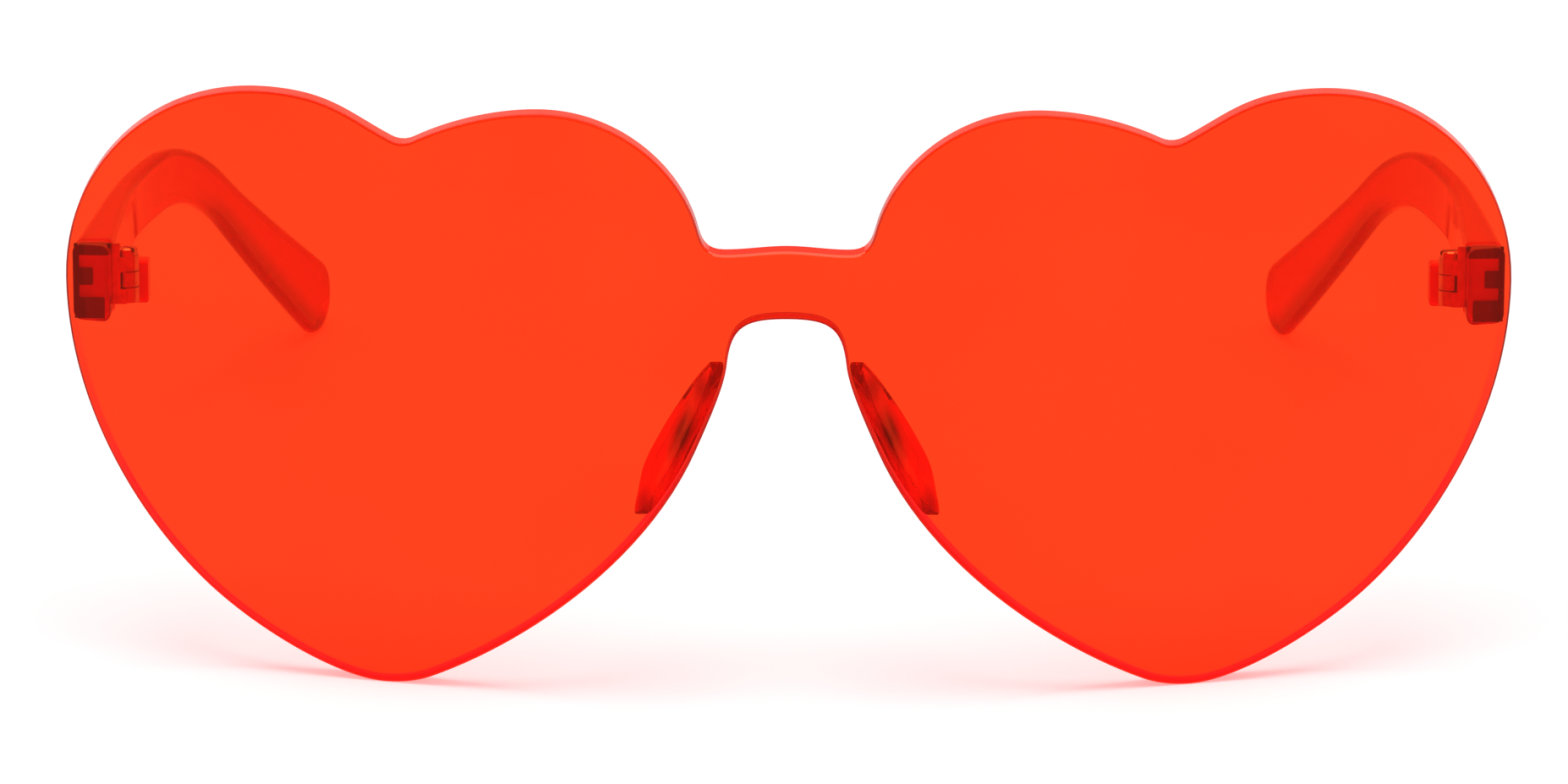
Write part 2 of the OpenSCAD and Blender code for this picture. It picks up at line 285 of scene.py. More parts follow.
def rounded_box(low, high, r, steps=6):
    """A rectangle with round corners, counter-clockwise."""
    turn = np.radians(np.linspace(0, 90, steps + 1))
    corners = []
    for k, (u, v) in enumerate(
        [(high[0], high[1]), (low[0], high[1]), (low[0], low[1]), (high[0], low[1])]
    ):
        cu = u - r if u == high[0] else u + r
        cv = v - r if v == high[1] else v + r
        a = turn + k * math.pi / 2
        corners.append(np.stack([cu + r * np.cos(a), cv + r * np.sin(a)], 1))
    return np.vstack(corners)


def facing(level, uv, sign):
    """The direction in which a face of that level looks, down for sign -1 and up for 1."""
    step = 0.01 * MM
    du = (level(uv[:, 0] + step, uv[:, 1]) - level(uv[:, 0] - step, uv[:, 1])) / (2 * step)
    dv = (level(uv[:, 0], uv[:, 1] + step) - level(uv[:, 0], uv[:, 1] - step)) / (2 * step)
    out = np.stack([-du, -dv, np.ones(len(uv))], 1) * sign
    return out / np.linalg.norm(out, axis=1)[:, None]


class Skin:
    """A closed skin made of corners, each with its own place and its own direction."""

    def __init__(self):
        self.places, self.directions, self.vertex, self.faces = [], [], [], []
        self.marks, self.edging = [], set()
        self.count = 0

    def add(self, places, directions, shared=None, share=0.0, up=0.0, band=0.0):
        """New corners, on new vertices or on the vertices of other corners. The share says
        how far across the edge they are, from the low face to the high one, up how far the
        edge looks up there, which sets its painted light and shade, and band how strongly the
        edge's painted shade shows on the face."""
        first = len(self.directions)
        self.directions.extend(directions.tolist())
        if shared is None:
            self.vertex.extend(range(self.count, self.count + len(places)))
            self.places.extend(places.tolist())
            marks = (np.broadcast_to(mark, len(places)) for mark in (share, up, band))
            self.marks.extend(np.stack(list(marks), 1))
            self.count += len(places)
        else:
            self.vertex.extend(self.vertex[i] for i in shared)
        return np.arange(first, first + len(directions))

    def strip(self, a, b, edging=True):
        """Faces between two closed rings of corners."""
        for i in range(len(a)):
            k = (i + 1) % len(a)
            if edging:
                self.edging.add(len(self.faces))
            self.faces.append((a[i], a[k], b[k], b[i]))

    def mesh(self, name, place):
        """The skin as a mesh, placed by a matrix."""
        flip = place.determinant() < 0
        places = np.array(self.places) @ np.array(place.to_3x3()).T + np.array(place.translation)
        directions = np.array(self.directions) @ np.array(place.to_3x3()).T
        corners = [tuple(reversed(f)) if flip else f for f in self.faces]
        mesh = bpy.data.meshes.new(name)
        mesh.from_pydata(places.tolist(), [], [[self.vertex[c] for c in f] for f in corners])
        mesh.polygons.foreach_set("use_smooth", [True] * len(corners))
        edging = [i in self.edging for i in range(len(corners))]
        mesh.polygons.foreach_set("material_index", [int(e) for e in edging])
        mesh.attributes.new("edging", "BOOLEAN", "FACE").data.foreach_set("value", edging)
        for label, values in zip(("edge_share", "edge_up", "band"), np.array(self.marks).T):
            made = mesh.attributes.new(label, "FLOAT", "POINT")
            made.data.foreach_set("value", values.tolist())
        mesh.normals_split_custom_set([directions[c].tolist() for f in corners for c in f])
        return mesh


def ring(outline, level, sign, rounding, turn):
    """One closed ring of a slab's edge: its places, and the directions in which it looks.
    The turn goes from nought, at the face, to a quarter at the edge's middle."""
    inset, lift = rounding * (1 - math.sin(turn)), rounding * (1 - math.cos(turn))
    out = outward(outline)
    uv = outline - out * np.reshape(inset, (-1, 1))
    # Where the inset line would cross itself, in a tight corner, it's cut short
    gap = np.hypot(uv[:, 0:1] - outline[:, 0], uv[:, 1:2] - outline[:, 1]).min(1)
    good = gap >= 0.99 * inset
    at, marks = np.arange(len(uv)), np.flatnonzero(good)
    uv = np.stack([np.interp(at, marks, uv[good, k], period=len(uv)) for k in (0, 1)], 1)
    w = level(uv[:, 0], uv[:, 1]) - sign * lift
    face = facing(level, uv, sign)
    edge = np.c_[out, np.zeros(len(out))]
    look = math.cos(turn) * face + math.sin(turn) * edge
    look /= np.linalg.norm(look, axis=1)[:, None]
    return np.c_[uv, w], look


def cover(skin, loops, uv_loops, level, sign, spacing):
    """A face of a slab: triangles inside the first loop and outside the others."""
    # A grid of even triangles, a little off the corners
    low, high = uv_loops[0].min(0), uv_loops[0].max(0)
    off_u, off_v, row = 0.37 * spacing, 0.41 * spacing, 0.866 * spacing
    columns = np.arange(low[0] + off_u, high[0], spacing)
    grid = np.stack(np.meshgrid(columns, np.arange(low[1] + off_v, high[1], row)), 2)
    grid[1::2, :, 0] += spacing / 2
    grid = grid.reshape(-1, 2)
    keep = inside(grid, uv_loops[0]) & clear_of(grid, uv_loops[0], room=0.6 * spacing)
    for loop in uv_loops[1:]:
        keep &= ~inside(grid, loop) & clear_of(grid, loop, room=0.4 * spacing)
    grid = grid[keep]
    at = np.c_[grid, level(grid[:, 0], grid[:, 1])]
    inner = skin.add(at, facing(level, grid, sign)) if len(grid) else []
    ids = np.concatenate([*loops, inner]).astype(int)
    uv = np.vstack([*uv_loops, grid])
    edges, first = [], 0
    for loop in loops:
        n = len(loop)
        edges += [(first + i, first + (i + 1) % n) for i in range(n)]
        first += n
    made = delaunay_2d_cdt([Vector(p) for p in uv.tolist()], edges, [], 1, 1e-9)
    corners, origin = made[2], made[3]
    back = [o[0] for o in origin]
    middles = np.array([np.mean([made[0][i] for i in f], axis=0) for f in corners])
    wanted = inside(middles, uv_loops[0])
    for loop in uv_loops[1:]:
        wanted &= ~inside(middles, loop)
    for f, good in zip(corners, wanted):
        if good:
            a, b, c = (back[i] for i in f)
            turned = np.cross(uv[b] - uv[a], uv[c] - uv[a])
            order = (a, b, c) if turned * sign > 0 else (a, c, b)
            skin.faces.append(tuple(ids[list(order)]))


def slab(
    name, outline, low, high, rounding, spacing, place, studs=(), rounds=4, bands=(), ups=None
):
    """A plate with a round edge. Its outline is counter-clockwise in U and V, and low and
    high are its two faces as levels in W. A stud, with its outline, top and rounding, stands
    out of the low face. Bands are insets from the outline, with how strongly the edge's
    painted shade shows on the low face there, and ups say how far the edge counts as
    looking up for its painted light and shade."""
    skin = Skin()
    turns = np.linspace(0, math.pi / 2, rounds + 1)
    rings, uvs = [], []
    ups = outward(outline)[:, 1] if ups is None else ups
    # The outermost band of painted shade is a little weaker where the edge starts
    last_band = bands[-1][1] * 0.85 if bands else 0.0
    for level, sign, order in ((low, -1, turns), (high, 1, turns[::-1])):
        for turn in order:
            at, look = ring(outline, level, sign, rounding, turn)
            share = len(rings) / (2 * rounds + 1)
            band = 0.0 if rings else last_band
            rings.append(skin.add(at, look, share=share, up=ups, band=band))
            uvs.append(at[:, :2])
    for a, b in zip(rings, rings[1:]):
        skin.strip(a, b)
    loops, uv_loops = [rings[0]], [uvs[0]]
    for inset, band in bands[::-1]:
        at, look = ring(outline, low, -1, inset, 0)
        within = skin.add(at, look, up=ups, band=band)
        skin.strip(within, loops[0], edging=False)
        loops, uv_loops = [within], [at[:, :2]]
    for loop, top, soft in studs:
        foot_at = np.c_[loop, low(loop[:, 0], loop[:, 1])]
        foot = skin.add(foot_at, facing(low, loop, -1))
        loops.append(foot)
        uv_loops.append(loop)
        out = np.c_[outward(loop), np.zeros(len(loop))]
        last = skin.add([], out, shared=foot)
        for turn in turns[::-1]:
            at, look = ring(loop, flat(top), -1, soft, turn)
            now = skin.add(at, look)
            skin.strip(now, last)
            last = now
        cover(skin, [last], [at[:, :2]], flat(top), -1, spacing)
    cover(skin, loops, uv_loops, low, -1, spacing)
    cover(skin, [rings[-1]], [uvs[-1]], high, 1, spacing)
    return piece(name, skin.mesh(name, place))


def piece(name, mesh):
    """A new object at the origin."""
    obj = bpy.data.objects.new(name, mesh)
    bpy.context.scene.collection.objects.link(obj)
    return obj


# Places for U, V, W: across-up-back for the front, back-up-across for pads and temples
ACROSS_UP_BACK = Matrix(((1, 0, 0, 0), (0, 0, 1, 0), (0, 1, 0, 0), (0, 0, 0, 1)))
BACK_UP_ACROSS = Matrix(((0, 0, 1, 0), (1, 0, 0, 0), (0, 1, 0, 0), (0, 0, 0, 1)))


def handed(side):
    """The right hand piece's place, or its mirror image for the left."""
    return Matrix.Diagonal((SIDES[side], 1, 1, 1))


def standing():
    """From the foremost point of the shield's outer face to the shared frame."""
    return Matrix.Translation((0, FRONT_Y, 0))


def at_hinge(side):
    """From the hinge's own frame to the shared frame."""
    return handed(side) @ Matrix.Translation(PIVOT) @ Matrix.Rotation(-SLOPE, 4, "X")


class Nodes:
    """A node tree, and short ways to add to it."""

    def __init__(self, tree):
        self.tree = tree

    def add(self, kind, **values):
        """A node, with values or other nodes' outputs for its inputs."""
        node = self.tree.nodes.new(kind)
        for name, value in values.items():
            self.feed(node.inputs[name.replace("_", " ")], value)
        return node

    def feed(self, socket, value):
        """Gives an input a number, a vector, a colour or another node's output."""
        if isinstance(value, bpy.types.NodeSocket):
            self.tree.links.new(value, socket)
        elif socket.type == "RGBA":
            socket.default_value = (*value, 1)
        else:
            socket.default_value = value

    def maths(self, operation, *values):
        """One step of arithmetic."""
        node = self.tree.nodes.new("ShaderNodeMath")
        node.operation = operation
        for socket, value in zip(node.inputs, values):
            self.feed(socket, value)
        return node.outputs[0]

    def vector(self, x=0.0, y=0.0, z=0.0):
        """Three numbers as a vector."""
        return self.add("ShaderNodeCombineXYZ", X=x, Y=y, Z=z).outputs[0]

    def ramp(self, source, low, high, start=0.35, end=0.65):
        """A number or a colour that goes from low to high with the source."""
        if np.ndim(low):
            node = self.add("ShaderNodeValToRGB", Fac=source)
            for stop, place, colour in zip(node.color_ramp.elements, (start, end), (low, high)):
                stop.position = place
                stop.color = (*colour, 1)
            return node.outputs["Color"]
        return self.add(
            "ShaderNodeMapRange", Value=source, From_Min=start, From_Max=end, To_Min=low,
            To_Max=high,
        ).outputs["Result"]

    def where_seen(self, light, seen):
        """A strength that differs where the camera, glass or metal shows the background."""
        ray = self.add("ShaderNodeLightPath").outputs
        shown = ray["Is Camera Ray"]
        for kind in ("Is Transmission Ray", "Is Glossy Ray"):
            shown = self.maths("MAXIMUM", shown, ray[kind])
        return self.ramp(shown, light, seen, start=0, end=1)


class Finish(Nodes):
    """A material's nodes."""

    def __init__(self, name):
        self.material = bpy.data.materials.new(name)
        self.material.use_nodes = True
        super().__init__(self.material.node_tree)
        self.tree.nodes.clear()

    def end(self, surface):
        """Gives the material its surface."""
        self.add("ShaderNodeOutputMaterial", Surface=surface)
        return self.material

    def noise(self, scale, detail=2.0, stretch=(1, 1, 1)):
        """A noise on the piece's own coordinates."""
        coords = self.add("ShaderNodeTexCoord").outputs["Object"]
        place = self.add("ShaderNodeMapping", Vector=coords, Scale=stretch).outputs["Vector"]
        texture = self.add("ShaderNodeTexNoise", Vector=place, Scale=scale, Detail=detail)
        return texture.outputs["Fac"]

    def from_middle(self):
        """How far a point is from the glasses' middle plane, and how high it is."""
        coords = self.add("ShaderNodeTexCoord").outputs["Object"]
        place = self.add("ShaderNodeSeparateXYZ", Vector=coords).outputs
        return self.maths("ABSOLUTE", place["X"]), place["Z"]

    def carried(self, name):
        """A number that the piece's own points carry."""
        node = self.add("ShaderNodeAttribute")
        node.attribute_name = name
        return node.outputs["Fac"]

    def mixed(self, share, a, b, way="MIX"):
        """Two colours mixed, each one a colour or a socket."""
        node = self.add("ShaderNodeMix")
        node.data_type, node.blend_type = "RGBA", way
        # Inputs 6 and 7 are the node's two colours
        for i, value in ((0, share), (6, a), (7, b)):
            self.feed(node.inputs[i], value)
        return node.outputs[2]

    def bump(self, height, strength, distance):
        """A fine unevenness."""
        node = self.add("ShaderNodeBump", Height=height, Strength=strength, Distance=distance)
        return node.outputs["Normal"]


def painted_band_shade(colour):
    """White, but this colour of painted shade where the edge shows through the face."""
    return lambda nodes: nodes.mixed(nodes.carried("band"), WHITE, colour)


def painted_edge_light(across, aside, below):
    """The colour of an edge, painted lighter and darker by which way it looks: from front to
    back where it looks up, and deeper where it looks sideways or down. Across holds two
    colours and where they start and end."""

    def paint(nodes):
        front_to_back = nodes.ramp(nodes.carried("edge_share"), *across)
        up = nodes.carried("edge_up")
        upper = nodes.mixed(nodes.ramp(up, 0, 1, start=0.2, end=0.7), aside, front_to_back)
        return nodes.mixed(nodes.ramp(up, 0, 1, start=-0.7, end=-0.2), below, upper)

    return paint


def clear_plastic(
    name, tint, deep, polish, clear=1.0, bend=1.49, gloss=0.0, shine=(1, 0.12, 0.06),
    paint=None, pane=FACE_SHADE,
):
    """Coloured plastic: faint clouds in its colour, fine wipe marks in its polish. Clear is
    how much of it is glass, bend how much that bends light, gloss the strength of its coat,
    and pane what it lets through to the table. Paint, where given, multiplies painted light
    and shade into its colour."""
    nodes = Finish(name)
    colour = nodes.ramp(nodes.noise(scale=45), tint, deep)
    if paint:
        colour = nodes.mixed(1, colour, paint(nodes), "MULTIPLY")
    wipes = nodes.noise(scale=260, detail=4, stretch=(1, 1, 0.25))
    waves = nodes.noise(scale=120)
    body = nodes.add(
        "ShaderNodeBsdfPrincipled", Base_Color=colour, Transmission_Weight=clear, IOR=bend,
        Specular_Tint=shine, Coat_Weight=gloss, Coat_Roughness=0.05,
        Roughness=nodes.ramp(wipes, polish, polish * 2.5),
        Normal=nodes.bump(waves, strength=0.03, distance=0.05 * MM),
    )
    shade = nodes.add("ShaderNodeBsdfTransparent", Color=pane)
    ray = nodes.add("ShaderNodeLightPath").outputs
    mix = nodes.add("ShaderNodeMixShader", Fac=ray["Is Shadow Ray"])
    nodes.feed(mix.inputs[1], body.outputs["BSDF"])
    nodes.feed(mix.inputs[2], shade.outputs["BSDF"])
    return nodes.end(mix.outputs["Shader"])


def metal(name, bright, dull, polish, stretch, set_in_shade=None):
    """Bare metal with fine drawn lines and a few dull spots, and painted shade, darker, where
    it's set in plastic, further out than the hinge's side."""
    nodes = Finish(name)
    lines = nodes.noise(scale=2500, detail=6, stretch=stretch)
    colour = nodes.ramp(nodes.noise(scale=900, detail=3), dull, bright)
    # Painted shade: darker where the metal is set in the plastic
    if set_in_shade:
        side, soft = PIVOT.x + LEAF_X, 0.1 * MM
        deep = nodes.ramp(nodes.from_middle()[0], 0, 1, start=side - soft, end=side + soft)
        colour = nodes.mixed(deep, colour, set_in_shade)
    body = nodes.add(
        "ShaderNodeBsdfPrincipled", Metallic=1, Base_Color=colour,
        Roughness=nodes.ramp(lines, polish, polish * 1.8),
        Normal=nodes.bump(lines, strength=0.15, distance=0.01 * MM),
    )
    return nodes.end(body.outputs["BSDF"])


def finish_piece(obj, slot, body, *replaced, materials=()):
    """Gives a piece its finish and its body, and hides the nodes that it stands for."""
    for material in materials:
        obj.data.materials.append(material)
    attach(obj, body)
    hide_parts(*replaced)


class FrontSettings(bpy.types.PropertyGroup):
    """Sizes and colours of the shield and what is bonded to it."""

    edge: bpy.props.FloatProperty(
        name="Shield edge", description="Radius of the shield's polished edge",
        default=0.22 * MM, min=0.1 * MM, max=0.8 * MM, precision=5, subtype="DISTANCE",
    )
    pad_edge: bpy.props.FloatProperty(
        name="Pad edge", description="Radius of the nose pads' edge",
        default=0.2 * MM, min=0.1 * MM, max=0.32 * MM, precision=5, subtype="DISTANCE",
    )
    tint: bpy.props.FloatVectorProperty(
        name="Coral", description="Colour that the shield passes",
        default=(1.0, 0.048, 0.0098), size=3, min=0, max=1, subtype="COLOR",
    )
    # The edge's colour is a painted pink highlight, shown where the edge looks up
    rim: bpy.props.FloatVectorProperty(
        name="Edge", description="Colour of the shield's polished edge",
        default=(1.0, 0.068, 0.022), size=3, min=0, max=1, subtype="COLOR",
    )


class TempleSettings(bpy.types.PropertyGroup):
    """Sizes and colours of the temples."""

    edge: bpy.props.FloatProperty(
        name="Temple edge", description="Radius of the temples' edge",
        default=0.75 * MM, min=0.1 * MM, max=0.78 * MM, precision=5, subtype="DISTANCE",
    )
    tint: bpy.props.FloatVectorProperty(
        name="Red", description="Colour that a temple passes",
        default=(0.88, 0.038, 0.032), size=3, min=0, max=1, subtype="COLOR",
    )
    # The narrow sides' painted light and shade are made from this colour: a darker copy where
    # they look up and a darker one still where they look down
    rim: bpy.props.FloatVectorProperty(
        name="Deep red", description="Colour of the temples' narrow sides",
        default=(0.88, 0.035, 0.02), size=3, min=0, max=1, subtype="COLOR",
    )


class HingeSettings(bpy.types.PropertyGroup):
    """Finish of the metal hinges."""

    metal: bpy.props.FloatVectorProperty(
        name="Metal", description="Colour of the hinge leaves",
        default=(0.8, 0.77, 0.72), size=3, min=0, max=1, subtype="COLOR",
    )
    chamfer: bpy.props.FloatProperty(
        name="Screw chamfer", description="Width of the chamfer round a screw's head",
        default=0.15 * MM, min=0.05 * MM, max=0.3 * MM, precision=5, subtype="DISTANCE",
    )


class StageSettings(bpy.types.PropertyGroup):
    """The white table and its light."""

    floor: bpy.props.FloatVectorProperty(
        name="Table", description="Colour of the table",
        default=(0.94, 0.94, 0.94), size=3, min=0, max=1, subtype="COLOR",
    )
    lamp: bpy.props.FloatProperty(
        name="Lamp", description="Strength of the soft light from above",
        default=2.3, min=0, max=10,
    )


class SUNGLASSES_OT_shield(bpy.types.Operator):
    """Builds the clear shield with its two hearts"""

    bl_idname = "sunglasses.shield"
    bl_label = "Build Shield"

    def execute(self, context):
        settings = context.scene.sunglasses_front
        half = right_outline(spacing=0.5 * MM)
        mirrored = half[1:-1][::-1] * (-1, 1)
        outline = np.vstack([half, mirrored])[::-1]

        def back(x, z):
            return shield_back(x, z) - FILM

        # The lower edges seen through the face are painted on it as a crimson band of shade
        lower = np.clip(-2 * outward(outline)[:, 1], 0, 1) * (abs(outline[:, 0]) > BAND_FROM)
        shield = slab(
            "shield", outline, shield_front, back, settings.edge, spacing=1.8 * MM,
            place=standing() @ ACROSS_UP_BACK, bands=((BAND_END, 0.0), (BAND_FULL, lower)),
        )
        tint, rim = np.array(settings.tint), np.array(settings.rim)
        # The face carries the painted crimson band of shade
        clear = clear_plastic(
            "coral_acrylic", tint, tint * (1, 0.93, 0.9), polish=0.012,
            paint=painted_band_shade((1, 0.035, 1.9)),
        )
        polished = {
            "tint": WHITE, "deep": (1, 0.85, 0.9), "polish": 0.1, "clear": 0.45,
            "shine": (1, 0.95, 0.9), "pane": EDGE_SHADE,
        }
        # The edges carry painted light and shade: a painted pink highlight where they look up,
        # and darker where they look sideways or down
        edge = clear_plastic("coral_edge", bend=1.07, **polished, paint=painted_edge_light(
            ((1, 0.03, 0.004), rim, 0.462, 0.475),
            aside=(0.5, 0.05, 0.035), below=(0.95, 0.045, 0.02),
        ))
        bridge = clear_plastic("bridge_edge", bend=1.03, **polished, paint=painted_edge_light(
            ((1, 0.22, 0.13), (1, 0.045, 0.019), 0.4, 0.445),
            aside=(0.8, 0.05, 0.03), below=(0.55, 0.017, 0.012),
        ))
        for face in shield.data.polygons:
            if face.material_index == 1 and abs(face.center.x) < BRIDGE_RIM:
                face.material_index = 2
        finish_piece(shield, "shield", "front", "front_shield", materials=(clear, edge, bridge))
        return {"FINISHED"}


class SUNGLASSES_OT_nose_pads(bpy.types.Operator):
    """Builds the two drop shaped nose pads"""

    bl_idname = "sunglasses.nose_pads"
    bl_label = "Build Nose Pads"

    def execute(self, context):
        settings = context.scene.sunglasses_front
        side_line = right_outline(spacing=0.25 * MM)
        beside = (side_line[:, 0] < HALF_W / 2) & (abs(side_line[:, 1] - PAD_Z) < 0.75 * PAD_H)
        line = side_line[beside]
        line = line[np.argsort(line[:, 1])]
        seat = shield_back(NOSE_W / 2, PAD_Z)

        def skin_side(y, z):
            x = np.interp(z, line[:, 1], line[:, 0]) + PAD_INSET
            return x + (y - seat) * math.tan(PAD_SPLAY)

        def hollow_side(y, z):
            """The inner face, with a shallow oval hollow a little under its middle."""
            across = (y - seat - 0.5 * PAD_DEPTH) / (0.42 * PAD_DEPTH)
            up = (z - PAD_Z + 0.04 * PAD_H) / (0.36 * PAD_H)
            hollow = np.clip(1 - across**2 - up**2, 0, 1) ** 1.5 * PAD_HOLLOW
            return skin_side(y, z) + PAD_T / math.cos(PAD_SPLAY) - hollow

        # The drop shape from the side, cut off where it meets the shield
        curve = path([
            (seat, PAD_Z + PAD_H / 2, -38, 0, 0.28 * PAD_H),
            (seat + 0.93 * PAD_DEPTH, PAD_Z - 0.16 * PAD_H, -90, 0.26 * PAD_H, 0.12 * PAD_H),
            (seat, PAD_Z - PAD_H / 2, -148, 0.16 * PAD_H, 0),
        ])

        def on_shield(z):
            return shield_back(hollow_side(seat, z), z) + FILM

        curve = curve[curve[:, 0] > on_shield(curve[:, 1])]
        z = np.linspace(curve[-1, 1], curve[0, 1], 40)[1:-1]
        outline = even_loop(np.vstack([curve, np.c_[on_shield(z), z]]), spacing=0.3 * MM)
        outline = eased(outline, turns=8)[::-1]

        def painted_pad_shade(nodes):
            """Painted shade where the pad bends the light away."""
            aside, height = nodes.from_middle()
            place = nodes.vector(x=aside, z=height)
            colour = WHITE
            for x, z, wide, tall, dark in PAD_PAINTED_SHADE:
                shade_spot = nodes.add(
                    "ShaderNodeMapping", Vector=place, Location=(x, 0, z),
                    Rotation=(0, PAD_SHADE_LEAN, 0), Scale=(wide, 1, tall),
                )
                shade_spot.vector_type = "TEXTURE"
                gap = nodes.add("ShaderNodeVectorMath", Vector=shade_spot.outputs[0])
                gap.operation = "LENGTH"
                within = nodes.ramp(gap.outputs["Value"], 1, 0, start=0.2, end=1)
                colour = nodes.mixed(within, colour, dark)
            return colour

        tint = np.array(settings.tint) * (0.95, 2, 12)
        # The pads' colour carries the painted shade
        mat = clear_plastic(
            "pad_acrylic", tint, tint * (0.95, 0.8, 0.8), polish=0.03, clear=0.88, bend=1.36,
            paint=painted_pad_shade,
        )
        for side in SIDES:
            pad = slab(
                "pad_" + side, outline, skin_side, hollow_side, settings.pad_edge,
                spacing=0.9 * MM, place=standing() @ handed(side) @ BACK_UP_ACROSS,
            )
            finish_piece(pad, "pad", "front", "nose_pad_" + side, materials=(mat, mat))
        return {"FINISHED"}


class SUNGLASSES_OT_end_blocks(bpy.types.Operator):
    """Builds the two end blocks that hold the hinges"""

    bl_idname = "sunglasses.end_blocks"
    bl_label = "Build End Blocks"

    def execute(self, context):
        settings = context.scene.sunglasses_front
        outline = rounded_box(
            (LEAF_X + FILM, -BLOCK_H / 2), (OUTER_X, BLOCK_H / 2), BLOCK_CORNER, steps=10
        )
        outline = even_loop(outline, spacing=0.3 * MM)
        centre = at_hinge("right").inverted() @ Vector((0, FRONT_Y + WRAP_R, WRAP_Z))

        def on_shield(x, z):
            room = (BACK_R - FILM) ** 2 - (x - centre.x) ** 2 - (z - centre.z) ** 2
            return centre.y - np.sqrt(room)

        tint = np.array(settings.tint)
        mat = clear_plastic(
            "block_acrylic", tint, tint * (0.98, 0.8, 0.8), polish=0.05, clear=0.94, bend=1.18,
            gloss=0.3,
        )
        for side in SIDES:
            block = slab(
                "block_" + side, outline, on_shield, flat(-BUTT_GAP), rounding=0.2 * MM,
                spacing=0.8 * MM, place=at_hinge(side) @ ACROSS_UP_BACK,
            )
            finish_piece(block, "block", "front", "end_block_" + side, materials=(mat, mat))
        return {"FINISHED"}


class Tree(Nodes):
    """A Geometry Nodes tree with named inputs."""

    def __init__(self, name, sizes):
        super().__init__(bpy.data.node_groups.new(name, "GeometryNodeTree"))
        face = self.tree.interface
        face.new_socket("Geometry", in_out="INPUT", socket_type="NodeSocketGeometry")
        for label, value in sizes.items():
            kind = "NodeSocketVector" if np.ndim(value) else "NodeSocketFloat"
            socket = face.new_socket(label, in_out="INPUT", socket_type=kind)
            socket.default_value = value
        face.new_socket("Geometry", in_out="OUTPUT", socket_type="NodeSocketGeometry")
        self.given = self.add("NodeGroupInput").outputs

    def finish(self, geometry, materials):
        """Ends the tree: real geometry, then its materials, each with where it goes."""
        geometry = self.add("GeometryNodeRealizeInstances", Geometry=geometry).outputs[0]
        for material, where in materials:
            geometry = self.add(
                "GeometryNodeSetMaterial", Geometry=geometry, Material=material, Selection=where
            ).outputs[0]
        self.add("NodeGroupOutput", Geometry=geometry)

    def made(self, name, source, values):
        """The mesh that the tree makes of an object, with these values for its inputs."""
        modifier = source.modifiers.new(name, "NODES")
        modifier.node_group = self.tree
        for item in self.tree.interface.items_tree:
            if item.in_out == "INPUT" and item.name in values:
                modifier[item.identifier] = values[item.name]
        shown = source.evaluated_get(bpy.context.evaluated_depsgraph_get())
        mesh = bpy.data.meshes.new_from_object(shown)
        mesh.name = name
        for i in reversed(range(len(mesh.materials))):
            if mesh.materials[i] is None:
                mesh.materials.pop(index=i)
        bpy.data.objects.remove(source)
        return piece(name, mesh)


def bending_tree(clear, edge):
    """The tree that bends a straight temple: down behind the ear and in towards the head."""
    tree = Tree("temple_bend", {
        "Arm Length": ARM_L, "Bend Radius": BEND_R, "Bend": BEND, "Lean": TIP_LEAN,
        "Lean From": LEAN_FROM, "Lean Run": LEAN_RUN, "Lean Power": LEAN_POWER,
        "Lean Softness": LEAN_SOFT, "Pivot": (0.0, 0.0, 0.0), "Slope": SLOPE,
    })
    given, maths = tree.given, tree.maths
    arm, radius, bend = given["Arm Length"], given["Bend Radius"], given["Bend"]
    place = tree.add("GeometryNodeInputPosition").outputs[0]
    straight = tree.add("ShaderNodeSeparateXYZ", Vector=place).outputs
    s, h = straight["Y"], straight["Z"]
    past_arm = maths("MAXIMUM", maths("SUBTRACT", s, arm), 0)
    turned = maths("MINIMUM", maths("DIVIDE", past_arm, radius), bend)
    tail = maths("SUBTRACT", past_arm, maths("MULTIPLY", turned, radius))
    sine, cosine = maths("SINE", turned), maths("COSINE", turned)
    out = maths("ADD", radius, h)
    along = maths("MULTIPLY_ADD", out, sine, maths("MINIMUM", s, arm))
    along = maths("MULTIPLY_ADD", tail, cosine, along)
    up = maths("SUBTRACT", maths("MULTIPLY", out, cosine), radius)
    up = maths("SUBTRACT", up, maths("MULTIPLY", tail, sine))
    # The lean starts softly: half of d plus the root of d squared and the softness squared
    d, soft = maths("SUBTRACT", along, given["Lean From"]), given["Lean Softness"]
    root = maths("SQRT", maths("MULTIPLY_ADD", d, d, maths("MULTIPLY", soft, soft)))
    share = maths("DIVIDE", maths("MULTIPLY", maths("ADD", d, root), 0.5), given["Lean Run"])
    lean = maths("MULTIPLY", maths("POWER", share, given["Lean Power"]), given["Lean"])
    bent = tree.vector(maths("SUBTRACT", straight["X"], lean), along, up)
    moved = tree.add("GeometryNodeSetPosition", Geometry=given["Geometry"], Position=bent)
    tilt = tree.vector(maths("MULTIPLY", given["Slope"], -1))
    hung = tree.add(
        "GeometryNodeTransform", Geometry=moved.outputs[0], Translation=given["Pivot"],
        Rotation=tilt,
    )
    edging = tree.add("GeometryNodeInputNamedAttribute", Name="edging")
    edging.data_type = "BOOLEAN"
    tree.finish(hung.outputs[0], [(clear, True), (edge, edging.outputs["Attribute"])])
    return tree


